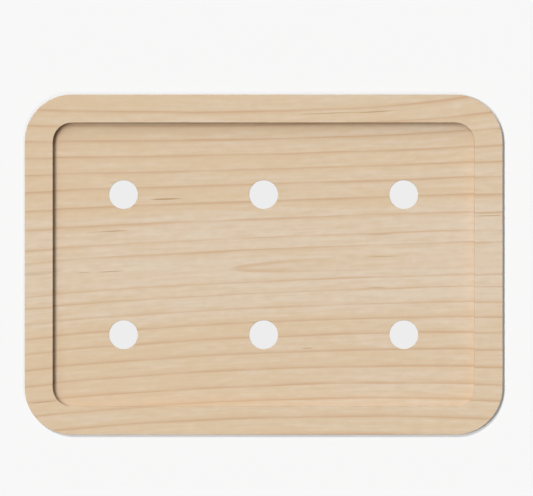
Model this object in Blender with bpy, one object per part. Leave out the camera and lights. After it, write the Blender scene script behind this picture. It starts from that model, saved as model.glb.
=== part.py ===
"""A wooden activity board, made of two plywood sheets glued face to face.

The lower sheet is the floor, with a push-out hole at the middle of each square tile place. The upper
sheet is the rim, one ring that frames all the tiles. Every ply is an object of its own. Metres, +Z up,
with the origin at the middle of the underside, +X along the board and +Y across it.
"""

import math

import bmesh
import bpy

# Tile places in the recess
TILE_SIDE = 0.127
TILE_COLUMNS = 3
TILE_ROWS = 2
SLACK_ALONG = 0.0011
SLACK_ACROSS = 0.0033

# Outline
RIM_WIDTH = 0.0254
RECESS_CORNER_RADIUS = 0.0174
HOLE_DIAMETER = 0.0260

# Ply thicknesses
VENEER = 0.0012
CROSSBAND = 0.0024
RIM_CORE = 0.0024
FLOOR_CORE = 0.0024
GLUE_LINE = 0.0001

# Sanded edges
EDGE_ROUNDING = 0.0005
HOLE_ROUNDING = 0.0004
WALL_LEFT_BY_ROUNDING = 0.0001

# Fineness of the round shapes
CORNER_STEPS = 14
HOLE_STEPS = 40
ROUNDING_STEPS = 2
WELD_DISTANCE = 0.00001

# Colours of bare maple: face grain, the cut ends of the cross plies, and the inner plies
FACE_GRAIN = (0.708, 0.546, 0.381, 1.0)
END_GRAIN = (0.520, 0.360, 0.215, 1.0)
INNER_GRAIN = (0.640, 0.475, 0.310, 1.0)
FACE_ROUGHNESS = 0.45
INNER_ROUGHNESS = 0.60

RECESS_LENGTH = TILE_COLUMNS * TILE_SIDE + SLACK_ALONG
RECESS_WIDTH = TILE_ROWS * TILE_SIDE + SLACK_ACROSS
BOARD_LENGTH = RECESS_LENGTH + 2 * RIM_WIDTH
BOARD_WIDTH = RECESS_WIDTH + 2 * RIM_WIDTH
BOARD_CORNER_RADIUS = RECESS_CORNER_RADIUS + RIM_WIDTH


def clear_scene():
    for thing in list(bpy.data.objects):
        bpy.data.objects.remove(thing, do_unlink=True)


def rounded_rectangle(length, width, radius):
    """Points round a rectangle with round corners, centred on the origin."""
    points = []
    corners = ((1, 1), (-1, 1), (-1, -1), (1, -1))
    for quarter, (side_x, side_y) in enumerate(corners):
        centre_x = side_x * (length / 2 - radius)
        centre_y = side_y * (width / 2 - radius)
        for step in range(CORNER_STEPS + 1):
            angle = math.pi / 2 * (quarter + step / CORNER_STEPS)
            points.append((centre_x + radius * math.cos(angle), centre_y + radius * math.sin(angle)))
    return points


def circle(centre, diameter):
    """Points round a circle."""
    points = []
    for step in range(HOLE_STEPS):
        angle = 2 * math.pi * step / HOLE_STEPS
        x = centre[0] + diameter / 2 * math.cos(angle)
        y = centre[1] + diameter / 2 * math.sin(angle)
        points.append((x, y))
    return points


def tile_centres():
    """The middle of each tile place, where its push-out hole is."""
    centres = []
    for row in range(TILE_ROWS):
        for column in range(TILE_COLUMNS):
            x = (column - (TILE_COLUMNS - 1) / 2) * TILE_SIDE
            y = (row - (TILE_ROWS - 1) / 2) * TILE_SIDE
            centres.append((x, y))
    return centres


def on_hole(x, y):
    """True for a point of the board that lies on the edge of a hole, and not on the rim's edges."""
    return any(math.dist((x, y), centre) < TILE_SIDE / 2 for centre in tile_centres())


def on_rim(x, y):
    return not on_hole(x, y)


def sheet_mesh(name, outline, windows, thickness):
    """A flat sheet cut to an outline and pierced by windows, halved by the plane z = 0."""
    curve = bpy.data.curves.new(name + "_outline", "CURVE")
    curve.dimensions = "2D"
    curve.fill_mode = "BOTH"
    curve.extrude = thickness / 2
    for loop in (outline, *windows):
        spline = curve.splines.new("POLY")
        spline.points.add(len(loop) - 1)
        for point, (x, y) in zip(spline.points, loop):
            point.co = (x, y, 0.0, 1.0)
        spline.use_cyclic_u = True
    drawing = bpy.data.objects.new(name + "_outline", curve)
    bpy.context.scene.collection.objects.link(drawing)
    depsgraph = bpy.context.evaluated_depsgraph_get()
    mesh = bpy.data.meshes.new_from_object(drawing.evaluated_get(depsgraph))
    mesh.name = name
    bpy.data.objects.remove(drawing)
    bpy.data.curves.remove(curve)
    return mesh


def ease_edges(sheet, height, rounding, chosen):
    """Round over the edges at one height, between a flat face and a wall, where chosen(x, y) is true."""
    edges = []
    for edge in sheet.edges:
        start, end = (vertex.co for vertex in edge.verts)
        level = abs(start.z - height) < WELD_DISTANCE and abs(end.z - height) < WELD_DISTANCE
        square = edge.calc_face_angle(0.0) > math.radians(60)
        middle = (start + end) / 2
        if level and square and chosen(middle.x, middle.y):
            edges.append(edge)
    bmesh.ops.bevel(
        sheet,
        geom=edges,
        offset=rounding,
        offset_type="OFFSET",
        segments=ROUNDING_STEPS,
        profile=0.5,
        affect="EDGES",
        loop_slide=False,
    )


def wood(name, colour, roughness):
    """Bare wood, sanded and oiled."""
    material = bpy.data.materials.new(name)
    material.use_nodes = True
    shader = material.node_tree.nodes["Principled BSDF"]
    shader.inputs["Base Color"].default_value = colour
    shader.inputs["Roughness"].default_value = roughness
    shader.inputs["Metallic"].default_value = 0.0
    material.diffuse_color = colour
    return material


class PlyStack:
    """Plies laid one on another from the underside up, with a glue line between neighbours."""

    def __init__(self, name):
        self.collection = bpy.data.collections.new(name)
        bpy.context.scene.collection.children.link(self.collection)
        self.board = bpy.data.objects.new(name, None)
        self.collection.objects.link(self.board)
        self.top = None

    def lay(self, name, outline, windows, thickness, material, eased=()):
        """Add a ply. Each entry of eased is a side (1 above, -1 below), a rounding and a chooser."""
        mesh = sheet_mesh(name, outline, windows, thickness)
        sheet = bmesh.new()
        sheet.from_mesh(mesh)
        bmesh.ops.remove_doubles(sheet, verts=sheet.verts, dist=WELD_DISTANCE)
        for side, rounding, chosen in eased:
            limited = min(rounding, thickness - WALL_LEFT_BY_ROUNDING)
            ease_edges(sheet, side * thickness / 2, limited, chosen)
        bmesh.ops.recalc_face_normals(sheet, faces=sheet.faces)
        sheet.to_mesh(mesh)
        sheet.free()
        mesh.shade_smooth()
        mesh.set_sharp_from_angle(angle=math.radians(40))
        mesh.materials.clear()
        mesh.materials.append(material)
        bottom = 0.0 if self.top is None else self.top + GLUE_LINE
        ply = bpy.data.objects.new(name, mesh)
        ply.location.z = bottom + thickness / 2
        ply.parent = self.board
        self.collection.objects.link(ply)
        self.top = bottom + thickness
        return ply


def lay_floor(stack, outline, holes):
    """The lower sheet: three plies, with the hole edges eased on both faces."""
    stack.lay(
        "floor_back_veneer", outline, holes, VENEER,
        wood("floor_back_maple", FACE_GRAIN, FACE_ROUGHNESS),
        eased=((-1, EDGE_ROUNDING, on_rim), (-1, HOLE_ROUNDING, on_hole)),
    )
    stack.lay(
        "floor_core_ply", outline, holes, FLOOR_CORE,
        wood("floor_core_maple", END_GRAIN, INNER_ROUGHNESS),
    )
    stack.lay(
        "floor_face_veneer", outline, holes, VENEER,
        wood("floor_face_maple", FACE_GRAIN, FACE_ROUGHNESS),
        eased=((1, HOLE_ROUNDING, on_hole),),
    )


def lay_rim(stack, outline, recess):
    """The upper sheet: five plies cut to one ring, with the edges of its face eased."""
    stack.lay(
        "rim_back_veneer", outline, recess, VENEER,
        wood("rim_back_maple", INNER_GRAIN, INNER_ROUGHNESS),
    )
    stack.lay(
        "rim_lower_crossband", outline, recess, CROSSBAND,
        wood("rim_lower_crossband_maple", END_GRAIN, INNER_ROUGHNESS),
    )
    stack.lay(
        "rim_core_ply", outline, recess, RIM_CORE,
        wood("rim_core_maple", INNER_GRAIN, INNER_ROUGHNESS),
    )
    stack.lay(
        "rim_upper_crossband", outline, recess, CROSSBAND,
        wood("rim_upper_crossband_maple", END_GRAIN, INNER_ROUGHNESS),
    )
    stack.lay(
        "rim_face_veneer", outline, recess, VENEER,
        wood("rim_face_maple", FACE_GRAIN, FACE_ROUGHNESS),
        eased=((1, EDGE_ROUNDING, on_rim),),
    )


def make_board():
    outline = rounded_rectangle(BOARD_LENGTH, BOARD_WIDTH, BOARD_CORNER_RADIUS)
    recess = [rounded_rectangle(RECESS_LENGTH, RECESS_WIDTH, RECESS_CORNER_RADIUS)]
    holes = [circle(centre, HOLE_DIAMETER) for centre in tile_centres()]
    stack = PlyStack("activity_board")
    lay_floor(stack, outline, holes)
    lay_rim(stack, outline, recess)
    print(f"board {BOARD_LENGTH:.4f} x {BOARD_WIDTH:.4f} x {stack.top:.4f} m")


clear_scene()
make_board()
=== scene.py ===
# %% [markdown]
# # A wooden activity board
# The board is a flat tray that holds six square play tiles. Two sheets of maple plywood are glued face to
# face: a floor with a push-out hole under each tile place, and a rim that frames the tiles. The plain solids
# of its eight plies are loaded first, as a fixed frame. Everything after that gives those solids a finer
# surface and a finish, and never moves or resizes them.

# %% Load the frame
import math

import bmesh
import bpy
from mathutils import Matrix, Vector


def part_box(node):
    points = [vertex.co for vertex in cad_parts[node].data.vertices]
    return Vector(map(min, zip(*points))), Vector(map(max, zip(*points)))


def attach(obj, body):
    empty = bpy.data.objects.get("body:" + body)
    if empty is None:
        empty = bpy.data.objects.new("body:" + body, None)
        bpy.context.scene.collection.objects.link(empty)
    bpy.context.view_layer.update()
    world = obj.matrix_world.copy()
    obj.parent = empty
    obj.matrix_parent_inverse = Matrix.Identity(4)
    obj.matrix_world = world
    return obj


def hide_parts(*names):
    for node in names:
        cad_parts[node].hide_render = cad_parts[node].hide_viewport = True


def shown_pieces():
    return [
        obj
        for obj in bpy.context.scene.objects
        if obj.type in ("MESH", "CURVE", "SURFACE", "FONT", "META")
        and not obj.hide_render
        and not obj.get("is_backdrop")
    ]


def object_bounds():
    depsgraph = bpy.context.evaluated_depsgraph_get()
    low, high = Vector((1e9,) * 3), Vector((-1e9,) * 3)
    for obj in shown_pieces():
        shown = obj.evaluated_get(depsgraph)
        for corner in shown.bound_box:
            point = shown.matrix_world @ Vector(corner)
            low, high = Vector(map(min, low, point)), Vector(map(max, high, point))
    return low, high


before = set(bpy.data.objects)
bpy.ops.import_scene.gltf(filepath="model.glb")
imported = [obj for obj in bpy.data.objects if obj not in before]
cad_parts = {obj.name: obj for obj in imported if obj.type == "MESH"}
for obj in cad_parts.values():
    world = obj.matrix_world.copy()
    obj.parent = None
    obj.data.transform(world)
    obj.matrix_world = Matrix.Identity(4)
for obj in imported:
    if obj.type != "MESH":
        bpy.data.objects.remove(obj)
cad_low, cad_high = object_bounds()
print("plies:", ", ".join(sorted(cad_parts)))

# %% [markdown]
# ## Sizes
# The outside sizes and the height of each ply are read from the frame, so they can't drift from it. A box
# can't tell how wide the rim is or how large the holes are, so those few sizes are written here again. The
# rim's inner and outer corners share one centre, which gives the outer radius.

# %% Sizes of the board
RIM_WIDTH = 0.0254
RECESS_CORNER_RADIUS = 0.0174
HOLE_DIAMETER = 0.0260
TILE_SIDE = 0.1270
TILE_COLUMNS = 3
TILE_ROWS = 2

board_length, board_width, board_height = cad_high - cad_low
board_corner_radius = RECESS_CORNER_RADIUS + RIM_WIDTH
print(f"board: {board_length:.4f} x {board_width:.4f} x {board_height:.4f} m")
print(f"recess: {board_length - 2 * RIM_WIDTH:.4f} x {board_width - 2 * RIM_WIDTH:.4f} m")

# %% [markdown]
# ## Nodes written as Python
# Both the shapes and the finishes below are node trees. Wiring nodes one link at a time hides the thought
# behind them, so a small class wraps an output socket and lets Python's own operators add the Math nodes.
# A formula then reads as a formula.


# %% A socket that can be calculated with
class Wire:
    """An output socket. Arithmetic on it adds Math nodes to its tree."""

    def __init__(self, bench, socket):
        self.bench = bench
        self.socket = socket

    def math(self, operation, *values):
        return self.bench.add("ShaderNodeMath", {"operation": operation}, dict(enumerate(values)))

    def __add__(self, other):
        return self.math("ADD", self, other)

    __radd__ = __add__

    def __sub__(self, other):
        return self.math("SUBTRACT", self, other)

    def __rsub__(self, other):
        return self.math("SUBTRACT", other, self)

    def __mul__(self, other):
        return self.math("MULTIPLY", self, other)

    __rmul__ = __mul__

    def __truediv__(self, other):
        return self.math("DIVIDE", self, other)

    def __pow__(self, other):
        return self.math("POWER", self, other)

    def __gt__(self, other):
        return self.math("GREATER_THAN", self, other)

    def __abs__(self):
        return self.math("ABSOLUTE", self)

    def fraction(self):
        return self.math("FRACT", self)

    def at_least(self, other):
        return self.math("MAXIMUM", self, other)

    def smooth(self, low, high):
        """0 below low, 1 above high and a smooth step between them."""
        settings = {"interpolation_type": "SMOOTHSTEP"}
        return self.bench.add("ShaderNodeMapRange", settings, {0: self, 1: low, 2: high})

    def beside(self, name):
        """Another output of the same node."""
        return Wire(self.bench, self.socket.node.outputs[name])


print("a wire can be:", ", ".join(name.strip("_") for name in vars(Wire) if callable(vars(Wire)[name])))

# %% [markdown]
# Every other node is laid on a bench by one method. It takes the node's type, its settings, which are made
# first because some of them decide which sockets there are, and the values or wires of its sockets. A list
# of wires goes into one socket that takes several. A trial at the end shows how an expression becomes nodes.


# %% A bench to lay nodes on
class Bench:
    """A node tree with one way to lay a node on it."""

    def __init__(self, tree):
        self.tree = tree

    def add(self, kind, settings=None, sockets=None, output=0):
        """Lay a node. Gives back one of its outputs as a wire, or the node itself if it has none."""
        node = self.tree.nodes.new(kind)
        for name, value in (settings or {}).items():
            if name == "points":
                self.shape_curve(node.mapping, value)
            else:
                setattr(node, name, value)
        for name, value in (sockets or {}).items():
            for one in value if isinstance(value, list) else [value]:
                if isinstance(one, Wire):
                    self.tree.links.new(one.socket, node.inputs[name])
                else:
                    node.inputs[name].default_value = one
        return Wire(self, node.outputs[output]) if node.outputs else node

    def shape_curve(self, mapping, points):
        """Straight runs between points, on a Float Curve node."""
        curve = mapping.curves[0]
        for x, y in points[1:-1]:
            curve.points.new(x, y)
        for point, place in zip(curve.points, points):
            point.location = place
            point.handle_type = "VECTOR"
        mapping.update()


trial = Bench(bpy.data.node_groups.new("trial", "ShaderNodeTree"))
1 - trial.add("ShaderNodeTexNoise") * 2
print("1 - noise * 2 makes:", ", ".join(node.name for node in trial.tree.nodes))
bpy.data.node_groups.remove(trial.tree)

# %% [markdown]
# ## One rule for every ply
# Each ply is the same rounded rectangle, cut through by the recess in the rim and by the holes in the floor.
# It could be drawn as a mesh by hand, but the rule suits Geometry Nodes: a rectangle with filleted corners
# and its openings are filled to a flat sheet, and the sheet is raised by its thickness. The holes repeat, so
# one circle is placed on the points of a small grid, one point for each tile place.

# %% Outline and openings
CORNER_STEPS = 40
HOLE_STEPS = 96


def rounded_rectangle(bench, length, width, radius):
    """A closed outline round the origin, with round corners."""
    corners = bench.add("GeometryNodeCurvePrimitiveQuadrilateral", None, {"Width": length, "Height": width})
    sockets = {"Curve": corners, "Count": CORNER_STEPS, "Radius": radius}
    return bench.add("GeometryNodeFilletCurve", {"mode": "POLY"}, sockets)


def recess_opening(bench, size):
    """The one large window in a rim ply, a rim's width inside the outline and concentric with it."""
    length = size["Length"] - 2 * size["Rim Width"]
    width = size["Width"] - 2 * size["Rim Width"]
    return rounded_rectangle(bench, length, width, size["Corner Radius"] - size["Rim Width"])


def hole_openings(bench, size):
    """A push-out hole at the middle of each tile place in a floor ply."""
    columns = {"Size X": TILE_SIDE * (TILE_COLUMNS - 1), "Vertices X": TILE_COLUMNS}
    rows = {"Size Y": TILE_SIDE * (TILE_ROWS - 1), "Vertices Y": TILE_ROWS}
    middles = bench.add("GeometryNodeMeshGrid", None, columns | rows)
    hole_size = {"Resolution": HOLE_STEPS, "Radius": size["Hole Diameter"] / 2}
    hole = bench.add("GeometryNodeCurvePrimitiveCircle", {"mode": "RADIUS"}, hole_size)
    copies = bench.add("GeometryNodeInstanceOnPoints", None, {"Points": middles, "Instance": hole})
    return bench.add("GeometryNodeRealizeInstances", None, {"Geometry": copies})


print("push-out holes:", TILE_COLUMNS * TILE_ROWS, "of", HOLE_STEPS, "steps")

# %% [markdown]
# A sanding block takes the sharp edges off the finished board, but never reaches the edges between plies. So
# each tree stores a weight from 0 to 1 on its edges, and a Bevel modifier reads it later. An edge is told by
# three things: whether it is square, which face it is on, and whether it lies on the rim or round a hole.

# %% Which edges are sanded
EDGE_ROUNDING = 0.0005
HOLE_ROUNDING = 0.0004
SQUARE_EDGE = math.radians(60)
WELD = 0.000002


def edge_weights(bench, size):
    """How far each edge is sanded, by its height and by whether it is the rim's or a hole's."""
    spot = bench.add("GeometryNodeInputPosition")
    place = bench.add("ShaderNodeSeparateXYZ", None, {"Vector": spot})
    near_end = abs(place) > size["Length"] / 2 - size["Rim Width"] - WELD
    near_side = abs(place.beside("Y")) > size["Width"] / 2 - size["Rim Width"] - WELD
    rim = near_end.at_least(near_side)
    square = bench.add("GeometryNodeInputMeshEdgeAngle") > SQUARE_EDGE
    above = place.beside("Z") > size["Base"] + size["Thickness"] - WELD
    below = (0 - place.beside("Z")) > 0 - size["Base"] - WELD
    at_rim = above * size["Rim Above"] + below * size["Rim Below"]
    at_holes = above * size["Holes Above"] + below * size["Holes Below"]
    return square * (rim * at_rim + (1 - rim) * at_holes)


print("sanding takes", EDGE_ROUNDING, "m off the rim's edges and", HOLE_ROUNDING, "m off the holes'")

# %% [markdown]
# The whole tree takes its sizes as named inputs, so that one tree cuts all five plies of the rim and another
# all three of the floor. The raised sheet has no underside yet, so a flipped copy of the flat one closes it.

# %% The ply trees
LENGTHS = ("Length", "Width", "Corner Radius", "Rim Width", "Hole Diameter", "Base", "Thickness")
WEIGHTS = ("Rim Above", "Rim Below", "Holes Above", "Holes Below")


def empty_tree(name):
    """A tree with the inputs that every ply has."""
    tree = bpy.data.node_groups.new(name, "GeometryNodeTree")
    tree.interface.new_socket("Geometry", in_out="OUTPUT", socket_type="NodeSocketGeometry")
    for label in LENGTHS + WEIGHTS:
        tree.interface.new_socket(label, in_out="INPUT", socket_type="NodeSocketFloat")
    tree.interface.new_socket("Material", in_out="INPUT", socket_type="NodeSocketMaterial")
    return tree


def raised_sheet(bench, flat, size):
    """A closed sheet of the ply's thickness, at its height in the board."""
    up = bench.add("ShaderNodeCombineXYZ", None, {"Z": 1.0})
    raising = {"Mesh": flat, "Offset": up, "Offset Scale": size["Thickness"], "Individual": False}
    raised = bench.add("GeometryNodeExtrudeMesh", {"mode": "FACES"}, raising)
    under = bench.add("GeometryNodeFlipFaces", None, {"Mesh": flat})
    closed = bench.add("GeometryNodeJoinGeometry", None, {"Geometry": [raised, under]})
    welded = bench.add("GeometryNodeMergeByDistance", None, {"Geometry": closed, "Distance": WELD})
    lift = bench.add("ShaderNodeCombineXYZ", None, {"Z": size["Base"]})
    return bench.add("GeometryNodeTransform", None, {"Geometry": welded, "Translation": lift})


def ply_tree(name, opening):
    """A tree that cuts a flat sheet with an outline and an opening."""
    bench = Bench(empty_tree(name))
    given = bench.add("NodeGroupInput")
    size = {label: given.beside(label) for label in LENGTHS + WEIGHTS}
    outline = rounded_rectangle(bench, size["Length"], size["Width"], size["Corner Radius"])
    loops = bench.add("GeometryNodeJoinGeometry", None, {"Geometry": [outline, opening(bench, size)]})
    flat = bench.add("GeometryNodeFillCurve", {"mode": "TRIANGLES"}, {"Curve": loops})
    sheet = raised_sheet(bench, flat, size)
    on_edges = {"data_type": "FLOAT", "domain": "EDGE"}
    weights = {"Geometry": sheet, "Name": "bevel_weight_edge", "Value": edge_weights(bench, size)}
    weighted = bench.add("GeometryNodeStoreNamedAttribute", on_edges, weights)
    real = bench.add("GeometryNodeRealizeInstances", None, {"Geometry": weighted})
    finish = {"Geometry": real, "Material": given.beside("Material")}
    bench.add("NodeGroupOutput", None, {"Geometry": bench.add("GeometryNodeSetMaterial", None, finish)})
    return bench.tree


rim_tree = ply_tree("rim_ply", recess_opening)
floor_tree = ply_tree("floor_ply", hole_openings)
print("ply trees:", len(rim_tree.nodes), "and", len(floor_tree.nodes), "nodes")

# %% [markdown]
# A tree is only a recipe. The helper below puts it on an object, sets its inputs by their identifiers, lets
# the Bevel modifier ease the weighted edges, and keeps the result as a plain mesh. The broad faces stay flat
# shaded, because smooth shading would bend their light near the eased edges.

# %% Cut a ply
EASED_STEPS = 5
SHARP_ANGLE = math.radians(35)
FLAT_FACE = 0.9999


def settle(piece):
    """Turn the evaluated object into a plain mesh without modifiers."""
    depsgraph = bpy.context.evaluated_depsgraph_get()
    mesh = bpy.data.meshes.new_from_object(piece.evaluated_get(depsgraph))
    piece.modifiers.clear()
    piece.data = mesh
    mesh.shade_smooth()
    mesh.set_sharp_from_angle(angle=SHARP_ANGLE)
    for face in mesh.polygons:
        face.use_smooth = abs(face.normal.z) < FLAT_FACE
    return piece


def cut_ply(name, tree, sizes, material):
    """A sheet from a ply tree. A size that isn't given is zero."""
    piece = bpy.data.objects.new(name, bpy.data.meshes.new(name))
    bpy.context.scene.collection.objects.link(piece)
    cutter = piece.modifiers.new("cut", "NODES")
    cutter.node_group = tree
    for item in tree.interface.items_tree:
        if item.in_out == "INPUT":
            cutter[item.identifier] = material if item.name == "Material" else float(sizes.get(item.name, 0))
    sanding = piece.modifiers.new("sand", "BEVEL")
    sanding.limit_method = "WEIGHT"
    sanding.width = EDGE_ROUNDING
    sanding.segments = EASED_STEPS
    sanding.use_clamp_overlap = False
    sanding.loop_slide = False
    return settle(piece)


print("a ply is cut from", len(LENGTHS), "lengths and", len(WEIGHTS), "sanding weights")

# %% [markdown]
# ## Maple
# Seen from above the board is all about its grain. A flat-sawn maple face shows the growth rings as long dark
# lines, about 14 mm apart here, that rise a little from left to right and fan out towards the corners. At the
# upper right corner they swing up, as rings do beside a branch.
#
# A Wave texture would give even stripes. Instead the height across the grain is worked out in millimetres:
# the sweep of the rings is taken out of it by a short formula, and a curve with one point for each ring turns
# it into a count of rings. The ring widths are read off the real board, from the heart of the log outwards.

# %% How the rings run
# Widths of the rings and the shape of their sweep, in millimetres
RINGS_ABOVE_HEART = (16.5, 10.5, 17.0, 16.0, 15.5, 13.5, 13.5, 13.5, 12.5, 12.5, 20.0)
RINGS_BELOW_HEART = (13.0, 10.5, 13.5, 13.0, 13.5, 14.5, 14.5, 15.0, 13.0, 15.0, 15.5)
HEART_HEIGHT = -1.9
SWEEP_LENGTH = 200.0
SWEEP_WIDTH = 150.0
RISE = 9.0
RISE_LOST_AT_EDGES = 6.7
RISE_LOST_UPWARDS = 2.9
FAN = 5.2
BOW = 2.1
SWING = 13.0
# How suddenly the swing sets in along and across the grain
SWING_ALONG = 3
SWING_ACROSS = 10


def sweep_at(x, y):
    """How far a ring has climbed at a place, in millimetres. It works on numbers and on wires alike."""
    u = x / SWEEP_LENGTH
    v = y / SWEEP_WIDTH
    climb = RISE - v * RISE_LOST_UPWARDS - v * v * RISE_LOST_AT_EDGES
    spread = v * FAN - BOW
    corner = ((1 + u) / 2) ** SWING_ALONG * ((1 + v) / 2) ** SWING_ACROSS
    return u * climb + u * u * spread + corner * SWING


def ring_points():
    """Height across the grain against ring number, both scaled to 0 to 1, and the scales that undo it."""
    below = len(RINGS_BELOW_HEART)
    places = [HEART_HEIGHT - sum(RINGS_BELOW_HEART[:count]) for count in range(below, 0, -1)]
    places.append(HEART_HEIGHT)
    places += [HEART_HEIGHT + sum(RINGS_ABOVE_HEART[: count + 1]) for count in range(len(RINGS_ABOVE_HEART))]
    low, span = places[0], places[-1] - places[0]
    rings = len(places) - 1
    points = [((place - low) / span, number / rings) for number, place in enumerate(places)]
    return points, low, span, rings, below


print("rings:", len(RINGS_ABOVE_HEART), "above the heart and", len(RINGS_BELOW_HEART), "below it")

# %% [markdown]
# A ring darkens slowly away from the heart and then ends sharply, so its line is steep on one side and soft
# on the other: two powers of the share of the ring that is passed give that. Where the saw just touches a
# ring it leaves a tongue, two lines that part from a point. One lies at the heart of this board, left of the
# middle, and opens to the right.

# %% Ring lines and the tongue
LINE_SHARPNESS_INSIDE = 11.5
LINE_SHARPNESS_OUTSIDE = 32.0
# The heart itself has no line, so a sharp end is drawn only past half a ring
NEAREST_RING = 0.5
# The tongue's sizes are in millimetres, and what fades is a share
TONGUE_TIP = -34.0
TONGUE_HALF_WIDTH = 7.8
TONGUE_OPENING = 33.0
TONGUE_EDGE = (-1.3, 0.6)
TONGUE_CORE = (0.0, 4.0)
TONGUE_CORE_FADE = 0.75
TONGUE_START = (0.0, 13.0)
TONGUE_END = (15.0, 130.0)
TONGUE_END_FADE = 0.8


def ring_lines(bench, height):
    """Dark lines at the rings' outer edges: a slow rise on the heart's side and a sharp end beyond."""
    points, low, span, rings, below = ring_points()
    scaled = (height - low) / span
    count = bench.add("ShaderNodeFloatCurve", {"points": points}, {"Value": scaled}) * rings - below
    share = abs(count).fraction()
    beyond = (1 - share) ** LINE_SHARPNESS_OUTSIDE * (abs(count) > NEAREST_RING)
    return (share**LINE_SHARPNESS_INSIDE).at_least(beyond)


def tongue_wood(x, height):
    """Late wood in the tongue: dark at its tip and along its two edges, fading inwards and with length."""
    run = (x - TONGUE_TIP).at_least(0)
    half_width = run / (run + TONGUE_OPENING) * TONGUE_HALF_WIDTH
    inside = half_width - abs(height - HEART_HEIGHT)
    late = inside.smooth(*TONGUE_EDGE) * (1 - inside.smooth(*TONGUE_CORE) * TONGUE_CORE_FADE)
    return late * run.smooth(*TONGUE_START) * (1 - run.smooth(*TONGUE_END) * TONGUE_END_FADE)


print("the tongue starts at", TONGUE_TIP, "mm and grows to", 2 * TONGUE_HALF_WIDTH, "mm wide")

# %% [markdown]
# A few short dark flecks lie along the grain, where a bud or a bruise was healed over. Noise would scatter
# them anywhere and make them all alike. They are few, so each is listed as a thin lens.

# %% Flecks
FLECK_FADE = 0.6
# Each fleck: its middle along and across the leaf, half its length and half its width, in millimetres, and
# its darkness
FLECKS = (
    (-88, 59.8, 18, 0.9, 1.0),
    (-141, 30.6, 25, 0.65, 0.4),
    (-136, 30.9, 17, 0.65, 0.8),
    (-138, -6.0, 15, 0.65, 0.7),
    (-162, -6.8, 8, 0.65, 0.4),
    (106, 28.0, 15, 0.65, 0.55),
    (108, 7.8, 18, 0.65, 0.5),
    (103, -19.9, 11, 0.65, 0.5),
    (40, -75.1, 7, 0.65, 0.7),
    (-206, -6.6, 30, 2.2, 0.3),
    (204, 48.6, 16, 0.65, 0.4),
    (204, 46.1, 16, 0.65, 0.65),
    (-199, -123.2, 16, 0.65, 0.8),
    (60, 138.5, 38, 0.65, 0.6),
    (101, 140.0, 24, 0.65, 0.8),
)


def fleck_marks(bench, x, height):
    """Thin dark lenses along the grain."""
    spot = bench.add("ShaderNodeCombineXYZ", None, {"X": x, "Y": height})
    marks = 0
    for along, across, half_length, half_width, darkness in FLECKS:
        middle = (along, across - sweep_at(along, across), 0)
        shrink = (1 / half_length, 1 / half_width, 0)
        offset = bench.add("ShaderNodeVectorMath", {"operation": "SUBTRACT"}, {0: spot, 1: middle})
        shrunk = bench.add("ShaderNodeVectorMath", {"operation": "MULTIPLY"}, {0: offset, 1: shrink})
        far = bench.add("ShaderNodeVectorMath", {"operation": "LENGTH"}, {0: shrunk}, "Value")
        marks = ((1 - far).smooth(0, FLECK_FADE) * darkness).at_least(marks)
    return marks


print("flecks:", len(FLECKS))

# %% [markdown]
# ## Colours
# The colours are given as the eye sees them, in the usual 0 to 255, and turned into the linear values that
# light is calculated with. Oiled maple is pale and slightly pink in its young wood and turns to honey in the
# late wood. A saw cut across the fibres drinks more oil, so end grain is much darker.

# %% Colours of maple
SCREEN_WHITE = 255
SCREEN_OFFSET = 0.055
SCREEN_POWER = 2.4
# Sockets of a Mix node that mixes colours
MIX_SHARE = 0
MIX_FIRST = 6
MIX_SECOND = 7
MIX_RESULT = 2


def linear(red, green, blue):
    """A colour from its usual screen values."""
    shares = [value / SCREEN_WHITE for value in (red, green, blue)]
    levels = [((share + SCREEN_OFFSET) / (1 + SCREEN_OFFSET)) ** SCREEN_POWER for share in shares]
    return (*levels, 1.0)


PALE_WOOD = linear(226, 206, 181)
WARM_WOOD = linear(221, 194, 158)
SHADED_WOOD = linear(196, 173, 145)
LATE_WOOD = linear(205, 169, 131)
FLECK_BROWN = linear(181, 145, 101)
EDGE_FIBRE = linear(191, 162, 128)
EDGE_STREAK = linear(167, 134, 99)
END_GRAIN = linear(149, 113, 80)


def blend(bench, share, first, second):
    """Share of the second colour in the first."""
    sockets = {MIX_SHARE: share, MIX_FIRST: first, MIX_SECOND: second}
    return bench.add("ShaderNodeMix", {"data_type": "RGBA"}, sockets, MIX_RESULT)


print("pale wood is", [round(value, 3) for value in PALE_WOOD[:3]])

# %% [markdown]
# ## The sawn face
# The ring lines are strong in one place and faint in the next. A noise decides how strong: smooth random
# values that change slowly along the grain and quickly across it. Every noise on the face is drawn out in
# that way, so one helper takes its length and its width in millimetres. A pale zone runs along the heart, and
# the lines are fainter there.

# %% Lines of a face
MILLIMETRES = 1000.0
NOISE_MIDDLE = 0.5
NOISE_DETAIL = 2.0
# Each noise: its length along the grain and its width across it, in millimetres, and its level in the log
LINE_NOISE = (60, 9, 5)
LINE_STRENGTH = 1.025
LINE_CHANGE = 2.55
FAINTEST_LINE = 0.22
TONGUE_STRENGTH = 0.62
# The pale zone: its middle, where it starts and ends on either side of it, in millimetres, and the share of
# their strength that lines keep there
PALE_MIDDLE = 2.5
PALE_ENDS = (43, 51)
PALE_LINES = 0.70


def noise(bench, x, y, z, detail=NOISE_DETAIL):
    """Smooth noise from 0 to 1, with one cell for each unit of the given coordinates."""
    spot = bench.add("ShaderNodeCombineXYZ", None, {"X": x, "Y": y, "Z": z})
    return bench.add("ShaderNodeTexNoise", None, {"Vector": spot, "Scale": 1.0, "Detail": detail})


def grain_noise(bench, x, height, shape, depth, detail=NOISE_DETAIL):
    """Noise that is drawn out along the grain, with a middle of zero."""
    length, width, level = shape
    return noise(bench, x / length, height / width, depth + level, detail) - NOISE_MIDDLE


def outer_wood(height):
    """0 in the pale zone along the heart and 1 outside it."""
    return abs(height - PALE_MIDDLE).smooth(*PALE_ENDS)


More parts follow.
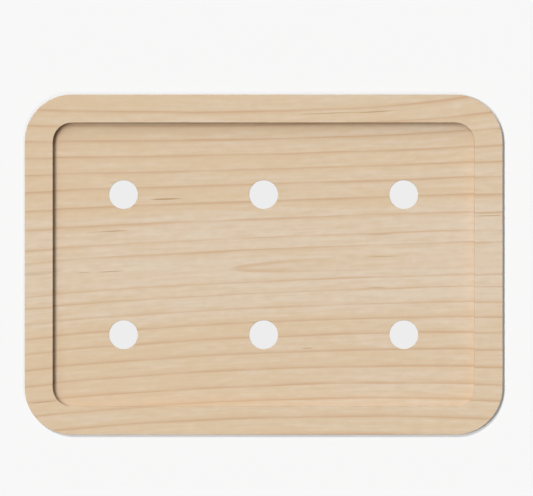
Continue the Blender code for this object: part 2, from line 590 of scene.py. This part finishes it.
def late_wood(bench, x, height, depth):
    """Where the ring lines and the tongue are, and how strong."""
    strength = LINE_STRENGTH + grain_noise(bench, x, height, LINE_NOISE, depth) * LINE_CHANGE
    kept = PALE_LINES + outer_wood(height) * (1 - PALE_LINES)
    rings = ring_lines(bench, height) * strength.at_least(FAINTEST_LINE) * kept
    return rings.at_least(tongue_wood(x, height) * TONGUE_STRENGTH)


print("the strength of a line changes within", LINE_NOISE[0], "mm along the grain")

# %% [markdown]
# Between the rings the wood is never one colour. Broad bands, streaks a few millimetres wide and fine fibres
# mix pale and warm wood. It is warmer outside the pale zone and beside each ring line, and pales a little to
# the right. Where the fibres dip and turn they throw back less light, which shows as a soft mottle and
# darkens some of the streaks.

# %% Warm and shaded wood
BROAD_BANDS = (190, 17, 9)
STREAKS = (42, 3.4, 13)
FIBRES = (16, 0.7, 17)
MOTTLE = (12, 5, 21)
BROAD_DETAIL = 1.0
STREAK_DETAIL = 1.5
# How far each of them moves the wood from pale to warm
EVEN_WARMTH = -0.23
BROAD_WARMTH = 1.1
STREAK_WARMTH = 1.6
FIBRE_WARMTH = 0.25
MOTTLE_WARMTH = 0.6
OUTER_WARMTH = 0.46
LEFT_WARMTH = 0.16
LINE_WARMTH = 0.34
LINE_WARMTH_POWER = 0.5
WARM_RANGE = (-0.6, 0.6)
# How far they darken it
EVEN_SHADE = 0.12
MOTTLE_SHADE = 0.42
STREAK_SHADE = 0.13


def base_wood(bench, x, height, depth, late, fibres):
    """Colour of the wood between its ring lines."""
    broad = grain_noise(bench, x, height, BROAD_BANDS, depth, BROAD_DETAIL)
    streaks = grain_noise(bench, x, height, STREAKS, depth, STREAK_DETAIL)
    mottle = grain_noise(bench, x, height, MOTTLE, depth)
    warmth = EVEN_WARMTH + outer_wood(height) * OUTER_WARMTH - x / SWEEP_LENGTH * LEFT_WARMTH
    warmth += broad * BROAD_WARMTH + streaks * STREAK_WARMTH + mottle * MOTTLE_WARMTH
    warmth += fibres * FIBRE_WARMTH + late**LINE_WARMTH_POWER * LINE_WARMTH
    shade = EVEN_SHADE + mottle * MOTTLE_SHADE + streaks * STREAK_SHADE
    return blend(bench, shade, blend(bench, warmth.smooth(*WARM_RANGE), PALE_WOOD, WARM_WOOD), SHADED_WOOD)


print("streaks:", STREAKS[1], "mm wide, mottle:", MOTTLE[0], "by", MOTTLE[1], "mm")

# %% [markdown]
# The two sheets are cut from neighbouring leaves of one log, so one pattern serves both. A leaf only says how
# the pattern is turned and shifted for a ply, and how deep in the log it lies. No ring runs quite true, so a
# last noise lets the lines wander a little.

# %% Colour of a face
WANDERING = (90, 34, 0)
WANDER = 2.0


def face_figure(bench, x, y, leaf):
    """Colour of a sawn face, a mask of its dark lines and its fibres."""
    turn, shift_along, shift_across, depth = leaf
    x = x * turn + shift_along
    y = y * turn + shift_across
    height = y - sweep_at(x, y) + grain_noise(bench, x, y, WANDERING, depth) * WANDER
    late = late_wood(bench, x, height, depth)
    fibres = grain_noise(bench, x, height, FIBRES, depth)
    lined = blend(bench, late, base_wood(bench, x, height, depth, late, fibres), LATE_WOOD)
    return blend(bench, fleck_marks(bench, x, height), lined, FLECK_BROWN), late, fibres


# Each leaf: its turn, its shift along and across the grain in millimetres, and its depth in the log
RIM_LEAF = (1, 0.0, 1.5, 0.0)
FLOOR_LEAF = (1, 0.4, 0.5, 0.0)
BACK_LEAF = (-1, 62.0, -43.0, 40.0)
print("the rim's grain lies", round(RIM_LEAF[2] - FLOOR_LEAF[2], 2), "mm lower than the floor's")

# %% [markdown]
# ## Cut edges
# Plywood shows its making at every edge. A ply whose fibres run along the edge looks pale and streaky, and
# the next one, turned by a right angle, shows its fibre ends as a darker, speckled band. The shader compares
# the surface's direction with the ply's own grain, so one finish is right on the long sides, the short sides,
# the round corners and the walls of the holes.

# %% Colour of an edge
GRAIN_ALONG = "X"
GRAIN_ACROSS = "Y"
ENDS_SHOW = (0.35, 0.85)
# Fibres and pores, in millimetres
FIBRE_LENGTH = 22.0
FIBRE_HEIGHT = 0.5
PORE_WIDTH = 0.9
PORE_HEIGHT = 1.6
EDGE_DEPTH = 3.0
# The parts of the noise that make streaks and speckles
STREAKED = (0.45, 0.85)
SPECKLED = (0.35, 0.70)
SPECKLE_SHARE = 0.55


def edge_figure(bench, place, turned, grain):
    """Colour of a cut edge, and where it shows the ends of the fibres."""
    other = GRAIN_ACROSS if grain == GRAIN_ALONG else GRAIN_ALONG
    along = place.beside(grain) * MILLIMETRES
    across = place.beside(other) * MILLIMETRES
    up = place.beside("Z") * MILLIMETRES
    fibre = noise(bench, along / FIBRE_LENGTH, up / FIBRE_HEIGHT, across / EDGE_DEPTH)
    pores = noise(bench, across / PORE_WIDTH, up / PORE_HEIGHT, along / EDGE_DEPTH)
    long_side = blend(bench, fibre.smooth(*STREAKED), EDGE_FIBRE, EDGE_STREAK)
    end_side = blend(bench, pores.smooth(*SPECKLED) * SPECKLE_SHARE, END_GRAIN, EDGE_FIBRE)
    ends = abs(turned.beside(grain)).smooth(*ENDS_SHOW)
    return blend(bench, ends, long_side, end_side), ends


widest_end = math.degrees(math.acos(ENDS_SHOW[0]))
print("fibre ends show where an edge faces within", round(widest_end), "degrees of the grain")

# %% [markdown]
# ## Painted shade beside the wall
# The floor is painted darker in a narrow margin beside the recess wall, as painted shade at the foot of
# the wall. How near the wall is follows from the centre of the nearest round corner. A place past that
# centre both along and across the board has the round wall ahead of it, and any other a straight one.

# %% Painted shade at the wall
# Painted shade: within this distance of the recess wall the floor is darkened towards shaded wood
WALL_SHADE_MARGIN = 0.0040
WALL_SHADE_DEPTH = 0.16


def painted_wall_shade(place):
    """How much painted shade darkens the floor, by its distance from the recess wall."""
    past_x = abs(place) - (board_length / 2 - board_corner_radius)
    past_y = abs(place.beside("Y")) - (board_width / 2 - board_corner_radius)
    reach = (past_x.at_least(0) ** 2 + past_y.at_least(0) ** 2) ** 0.5
    return reach.smooth(RECESS_CORNER_RADIUS - WALL_SHADE_MARGIN, RECESS_CORNER_RADIUS) * WALL_SHADE_DEPTH


# The margin printed here is painted shade at the foot of the wall
print("the floor is duller within", WALL_SHADE_MARGIN, "m of its wall")

# %% [markdown]
# ## The finish
# Sanded and oiled wood has a soft sheen. Its fibres are felt more than seen, so they give a little roughness
# and a relief of a few hundredths of a millimetre, while end grain is rougher. A ply with a leaf shows its
# figured face, and the plies between only show their edges.

# %% Oiled maple
FACE_ROUGHNESS = 0.50
FIBRE_ROUGHNESS = 0.12
END_ROUGHNESS = 0.68
SHEEN_LEVEL = 0.4
GRAIN_RELIEF = 0.00004
RELIEF_STRENGTH = 0.40
FIBRE_RELIEF = 0.5
LINE_RELIEF = 0.3
FACE_STARTS = (0.0, 0.06)


def empty_bench(name):
    """A new material's bench with nothing on it."""
    material = bpy.data.materials.new(name)
    material.use_nodes = True
    material.node_tree.nodes.clear()
    return material, Bench(material.node_tree)


def maple(name, grain, leaf=None):
    """Sanded and oiled maple whose fibres run along one axis."""
    material, bench = empty_bench(name)
    spot = bench.add("ShaderNodeTexCoord", output="Object")
    place = bench.add("ShaderNodeSeparateXYZ", None, {"Vector": spot})
    direction = bench.add("ShaderNodeNewGeometry", output="Normal")
    turned = bench.add("ShaderNodeSeparateXYZ", None, {"Vector": direction})
    colour, ends = edge_figure(bench, place, turned, grain)
    roughness = FACE_ROUGHNESS + ends * (END_ROUGHNESS - FACE_ROUGHNESS)
    sockets = {"Specular IOR Level": SHEEN_LEVEL}
    if leaf:
        face, late, fibres = face_figure(bench, place * MILLIMETRES, place.beside("Y") * MILLIMETRES, leaf)
        # Painted shade: only the floor's face is darkened at the foot of the recess wall
        if leaf == FLOOR_LEAF:
            face = blend(bench, painted_wall_shade(place), face, SHADED_WOOD)
        flat = abs(turned.beside("Z")).smooth(*FACE_STARTS)
        colour = blend(bench, flat, colour, face)
        face_roughness = FACE_ROUGHNESS + fibres * FIBRE_ROUGHNESS
        roughness = roughness * (1 - flat) + face_roughness * flat
        height = fibres * FIBRE_RELIEF - late * LINE_RELIEF
        relief = {"Height": height, "Strength": RELIEF_STRENGTH, "Distance": GRAIN_RELIEF}
        sockets["Normal"] = bench.add("ShaderNodeBump", None, relief)
    sockets |= {"Base Color": colour, "Roughness": roughness}
    shader = bench.add("ShaderNodeBsdfPrincipled", None, sockets)
    bench.add("ShaderNodeOutputMaterial", None, {"Surface": shader})
    print(name, "has", len(bench.tree.nodes), "nodes")
    return material


print("maple:", FACE_ROUGHNESS, "rough on its faces and", END_ROUGHNESS, "on its end grain")

# %% [markdown]
# ## Lay up the plies
# Eight plies make the board, from the rim's face down to the underside. The grain turns by a right angle from
# one ply to the next, which keeps plywood flat. Only three plies show a face: the rim's, the floor's and the
# underside's. Each finished ply stands for its solid, moves with the one body there is, and gets a maple
# finish named after it.

# %% Cut and finish each ply
EASED_RIM = 1.0
EASED_HOLES = HOLE_ROUNDING / EDGE_ROUNDING
OUTLINE = {
    "Length": board_length,
    "Width": board_width,
    "Corner Radius": board_corner_radius,
    "Rim Width": RIM_WIDTH,
    "Hole Diameter": HOLE_DIAMETER,
}
PLIES = {
    "rim_face_veneer": (rim_tree, GRAIN_ALONG, RIM_LEAF, {"Rim Above": EASED_RIM}),
    "rim_upper_crossband": (rim_tree, GRAIN_ACROSS, None, {}),
    "rim_core_ply": (rim_tree, GRAIN_ALONG, None, {}),
    "rim_lower_crossband": (rim_tree, GRAIN_ACROSS, None, {}),
    "rim_back_veneer": (rim_tree, GRAIN_ALONG, None, {}),
    "floor_face_veneer": (floor_tree, GRAIN_ALONG, FLOOR_LEAF, {"Holes Above": EASED_HOLES}),
    "floor_core_ply": (floor_tree, GRAIN_ACROSS, None, {}),
    "floor_back_veneer": (
        floor_tree, GRAIN_ALONG, BACK_LEAF, {"Rim Below": EASED_RIM, "Holes Below": EASED_HOLES}
    ),
}

for node, (tree, grain, leaf, eased) in PLIES.items():
    low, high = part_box(node)
    sizes = OUTLINE | eased | {"Base": low.z, "Thickness": high.z - low.z}
    ply = cut_ply(node + "_wood", tree, sizes, maple(node + "_maple", grain, leaf))
    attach(ply, "root")
    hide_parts(node)
    print(ply.name, len(ply.data.polygons), "faces")

# %% [markdown]
# ## Glue lines
# Between two plies lies a film of glue a tenth of a millimetre thick. It shows only as a hair line along the
# cut edges, where sanding leaves it a touch lower than the wood. The ply trees can cut it as well: a film is
# a very thin ply with a slightly smaller outline and slightly wider openings. The films are joined to one
# piece, and its colour drifts from amber to brown along the edge.

# %% Dried glue
GLUE_SETBACK = 0.0001
GLUE_CLEARANCE = 0.000005
GLUE_PATCH = 9.0
GLUE_DRIFT = (0.3, 0.7)
GLUE_ROUGHNESS = 0.38
GLUE_ROUGHNESS_DRIFT = 0.2
GLUE_AMBER = linear(150, 112, 72)
GLUE_BROWN = linear(104, 72, 45)


def dried_glue():
    """Glue that drifts from amber to brown along the edge."""
    material, bench = empty_bench("dried_glue")
    spot = bench.add("ShaderNodeTexCoord", output="Object")
    patches = bench.add("ShaderNodeTexNoise", None, {"Vector": spot, "Scale": MILLIMETRES / GLUE_PATCH})
    colour = blend(bench, patches.smooth(*GLUE_DRIFT), GLUE_AMBER, GLUE_BROWN)
    roughness = GLUE_ROUGHNESS + (patches - NOISE_MIDDLE) * GLUE_ROUGHNESS_DRIFT
    shader = bench.add("ShaderNodeBsdfPrincipled", None, {"Base Color": colour, "Roughness": roughness})
    bench.add("ShaderNodeOutputMaterial", None, {"Surface": shader})
    return material


glue = dried_glue()
print("glue films are set back by", GLUE_SETBACK, "m")

# %% Spread the glue
GLUE_OUTLINE = {
    "Length": board_length - 2 * GLUE_SETBACK,
    "Width": board_width - 2 * GLUE_SETBACK,
    "Corner Radius": board_corner_radius - GLUE_SETBACK,
    "Rim Width": RIM_WIDTH - 2 * GLUE_SETBACK,
    "Hole Diameter": HOLE_DIAMETER + 2 * GLUE_SETBACK,
}
stack = sorted(PLIES, key=lambda node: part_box(node)[0].z)
films = bmesh.new()
for lower, upper in zip(stack, stack[1:]):
    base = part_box(lower)[1].z + GLUE_CLEARANCE
    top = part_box(upper)[0].z - GLUE_CLEARANCE
    film = cut_ply("film", PLIES[upper][0], GLUE_OUTLINE | {"Base": base, "Thickness": top - base}, glue)
    films.from_mesh(film.data)
    bpy.data.objects.remove(film)

glue_mesh = bpy.data.meshes.new("glue_lines")
films.to_mesh(glue_mesh)
films.free()
glue_mesh.materials.append(glue)
glue_lines = bpy.data.objects.new("glue_lines", glue_mesh)
bpy.context.scene.collection.objects.link(glue_lines)
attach(glue_lines, "root")
print(glue_lines.name, len(stack) - 1, "films,", len(glue_mesh.polygons), "faces")

# %% [markdown]
# ## Stage
# The board lies on a plain pale floor. Part of the floor's brightness is its own, for the camera and for
# reflections, so that the background stays even, and the rest is lit, so that the board still throws its
# shadow on it. The floor is dark grey under a strong lamp of its own: lit wood then tints it very little. A
# light grey card lies under the board, and is what the holes show. The card takes no light and glows
# evenly, and its grey, a little darker than the floor, is painted shade inside the holes.

# %% Floor and card
BACKGROUND = linear(248, 247, 247)
FLOOR_GREY = linear(80, 80, 80)
# Painted shade: the grey that the glowing card shows through the holes
CARD_SHADE_GREY = linear(237, 237, 237)
BLACK = (0.0, 0.0, 0.0, 1.0)
FLOOR_SIZE = 60.0
FLOOR_DROP = 0.0002
FLOOR_GLOW = 0.20
CARD_DROP = 0.0001
CARD_GLOW = 1.0
CARD_MARGIN = 0.0300
HALF_A_METRE = 0.5


def seen_ray(bench):
    """1 for what the camera, a reflection or a clear material sees, and 0 for light that spreads."""
    ray = bench.add("ShaderNodeLightPath", output="Is Camera Ray")
    return ray.at_least(ray.beside("Is Glossy Ray")).at_least(ray.beside("Is Transmission Ray"))


def stage_paper(name, grey, glow_colour, glow, seen_only):
    """Matt paper with a glow of its own, which may be for seen rays only."""
    material, bench = empty_bench(name)
    strength = seen_ray(bench) * glow if seen_only else glow
    lit = bench.add("ShaderNodeBsdfDiffuse", None, {"Color": grey})
    light = bench.add("ShaderNodeEmission", None, {"Color": glow_colour, "Strength": strength})
    both = bench.add("ShaderNodeAddShader", None, {0: lit, 1: light})
    bench.add("ShaderNodeOutputMaterial", None, {"Surface": both})
    return material


def stage_sheet(name, length, width, drop, material):
    """A flat sheet, a little under the board."""
    mesh = bpy.data.meshes.new(name)
    sheet = bmesh.new()
    # The size of a grid is half its side, so this one starts a metre wide
    bmesh.ops.create_grid(sheet, x_segments=1, y_segments=1, size=HALF_A_METRE)
    bmesh.ops.scale(sheet, verts=sheet.verts, vec=(length, width, 1))
    bmesh.ops.translate(sheet, verts=sheet.verts, vec=(0, 0, cad_low.z - drop))
    sheet.to_mesh(mesh)
    sheet.free()
    mesh.materials.append(material)
    thing = bpy.data.objects.new(name, mesh)
    bpy.context.scene.collection.objects.link(thing)
    thing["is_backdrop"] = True
    return thing


floor_paper = stage_paper("floor_paper", FLOOR_GREY, BACKGROUND, FLOOR_GLOW, True)
floor = stage_sheet("floor", FLOOR_SIZE, FLOOR_SIZE, FLOOR_DROP, floor_paper)
# The card glows evenly for every ray and takes no light: its grey is painted shade in the holes
card_shade_paper = stage_paper("card_shade_paper", BLACK, CARD_SHADE_GREY, CARD_GLOW, False)
card_length = board_length - 2 * CARD_MARGIN
stage_sheet("card", card_length, board_width - 2 * CARD_MARGIN, CARD_DROP, card_shade_paper)
print("floor", FLOOR_SIZE, "m wide, card", round(card_length, 3), "m wide")

# %% [markdown]
# ## Light
# Two soft lamps stand steeply to the left, so the rim's left wall throws a narrow shadow into the recess. A
# wide one further up the picture softens the upper wall's shadow into a long fade, and one to the lower
# right, level with the board, keeps its edges there from going dark. The first is a warm white and the next
# two a cool one, so that a shadow which only the first one reaches looks brown. They light the board alone,
# and on a level surface they add up with the sky to plain white, at a level at which a colour renders about
# as it is written. The floor has three small lamps of its own, almost overhead. Two give the short shadow at
# the board's right and lower edges, and the third the faint one at its other edges.

# %% Lamps
SKY_SHARE = 0.09
WARM_WHITE = (1.04, 0.99, 0.94)
COOL_WHITE = (0.965, 1.01, 1.06)
PLAIN_WHITE = (1.0, 1.0, 1.0)
# Each lamp: where it is seen from the board, its strength on a surface that faces it, its width in degrees
# and its colour
BOARD_LAMPS = {
    "left_lamp": ((-0.31, 0.02, 1.0), 0.362, 15, WARM_WHITE),
    "upper_left_lamp": ((-0.30, 0.33, 1.0), 0.324, 20, COOL_WHITE),
    "wide_lamp": ((-0.40, 1.20, 1.0), 0.298, 50, COOL_WHITE),
    "low_lamp": ((0.60, -0.80, 0.01), 0.42, 1, PLAIN_WHITE),
}
FLOOR_LAMPS = {
    "floor_left_lamp": ((-0.14, 0.00, 1.0), 4.07, 3, PLAIN_WHITE),
    "floor_upper_left_lamp": ((-0.14, 0.15, 1.0), 4.54, 3, PLAIN_WHITE),
    "floor_right_lamp": ((0.12, -0.16, 1.0), 0.80, 3, PLAIN_WHITE),
}


def make_lamp(name, toward, strength, width, colour, lit):
    """A sun seen in a direction from the board, which lights only the things given."""
    lamp = bpy.data.lights.new(name, "SUN")
    direction = Vector(toward).normalized()
    # A sun of strength pi shows a white surface that faces it as white
    lamp.energy = math.pi * strength
    lamp.angle = math.radians(width)
    lamp.color = colour
    sun = bpy.data.objects.new(name, lamp)
    sun.rotation_euler = direction.to_track_quat("Z", "Y").to_euler()
    bpy.context.scene.collection.objects.link(sun)
    receivers = bpy.data.collections.new("lit_by_" + name)
    for thing in lit:
        receivers.objects.link(thing)
    sun.light_linking.receiver_collection = receivers


board_pieces = list(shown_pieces())
for name, lamp in BOARD_LAMPS.items():
    make_lamp(name, *lamp, board_pieces)
for name, lamp in FLOOR_LAMPS.items():
    make_lamp(name, *lamp, [floor])
from_above = [Vector(toward).normalized().z * strength for toward, strength, *_ in BOARD_LAMPS.values()]
print("light on a level surface:", round(SKY_SHARE + sum(from_above), 2))

# %% [markdown]
# The sky lights the board weakly from all round. Seen directly it has the background's colour, so that no
# horizon shows where the floor ends.

# %% Sky
sky = bpy.data.worlds.new("sky")
sky.use_nodes = True
sky.node_tree.nodes.clear()
sky_bench = Bench(sky.node_tree)
sky_strength = SKY_SHARE + seen_ray(sky_bench) * (1 - SKY_SHARE)
sky_light = sky_bench.add("ShaderNodeBackground", None, {"Color": BACKGROUND, "Strength": sky_strength})
sky_bench.add("ShaderNodeOutputWorld", None, {"Surface": sky_light})
bpy.context.scene.world = sky
print("sky:", SKY_SHARE, "of the light")

# %% [markdown]
# ## Camera
# The view is straight down from far away through a long lens, which keeps the recess walls out of sight. The
# brightest of them is the one at the bottom of the picture, so the camera stands over that wall and is turned
# by less than half a degree. The rest follows from where the board's edges lie in a picture 533 pixels wide.

# %% Camera
PICTURE_WIDTH = 533
PICTURE_HEIGHT = 496
BOARD_LEFT = 24.65
BOARD_RIGHT = 502.6
BOARD_TOP = 94.55
BOARD_BOTTOM = 434.55
CAMERA_HEIGHT = 20.0

metres_per_pixel = board_length / (BOARD_RIGHT - BOARD_LEFT)
picture_width = PICTURE_WIDTH * metres_per_pixel
camera_data = bpy.data.cameras.new("camera")
camera_data.lens = camera_data.sensor_width * (CAMERA_HEIGHT - cad_high.z) / picture_width
camera = bpy.data.objects.new("camera", camera_data)
camera.location.x = (PICTURE_WIDTH - BOARD_LEFT - BOARD_RIGHT) / 2 * metres_per_pixel
camera.location.y = RIM_WIDTH - board_width / 2
camera.location.z = CAMERA_HEIGHT
picture_middle = (BOARD_TOP + BOARD_BOTTOM - PICTURE_HEIGHT) / 2 * metres_per_pixel
camera.rotation_euler.x = math.atan((picture_middle - camera.location.y) / (CAMERA_HEIGHT - cad_high.z))
bpy.context.scene.collection.objects.link(camera)
bpy.context.scene.camera = camera
bpy.context.scene.view_settings.view_transform = "Standard"
print("lens", round(camera_data.lens, 1), "mm, picture", round(picture_width, 4), "m wide")

# %% [markdown]
# ## Size
# The box of the finished pieces is printed; the frame's own box was printed near the start.

# %% Size of the finished pieces
low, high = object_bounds()
print("visual size", [round(side, 4) for side in high - low])
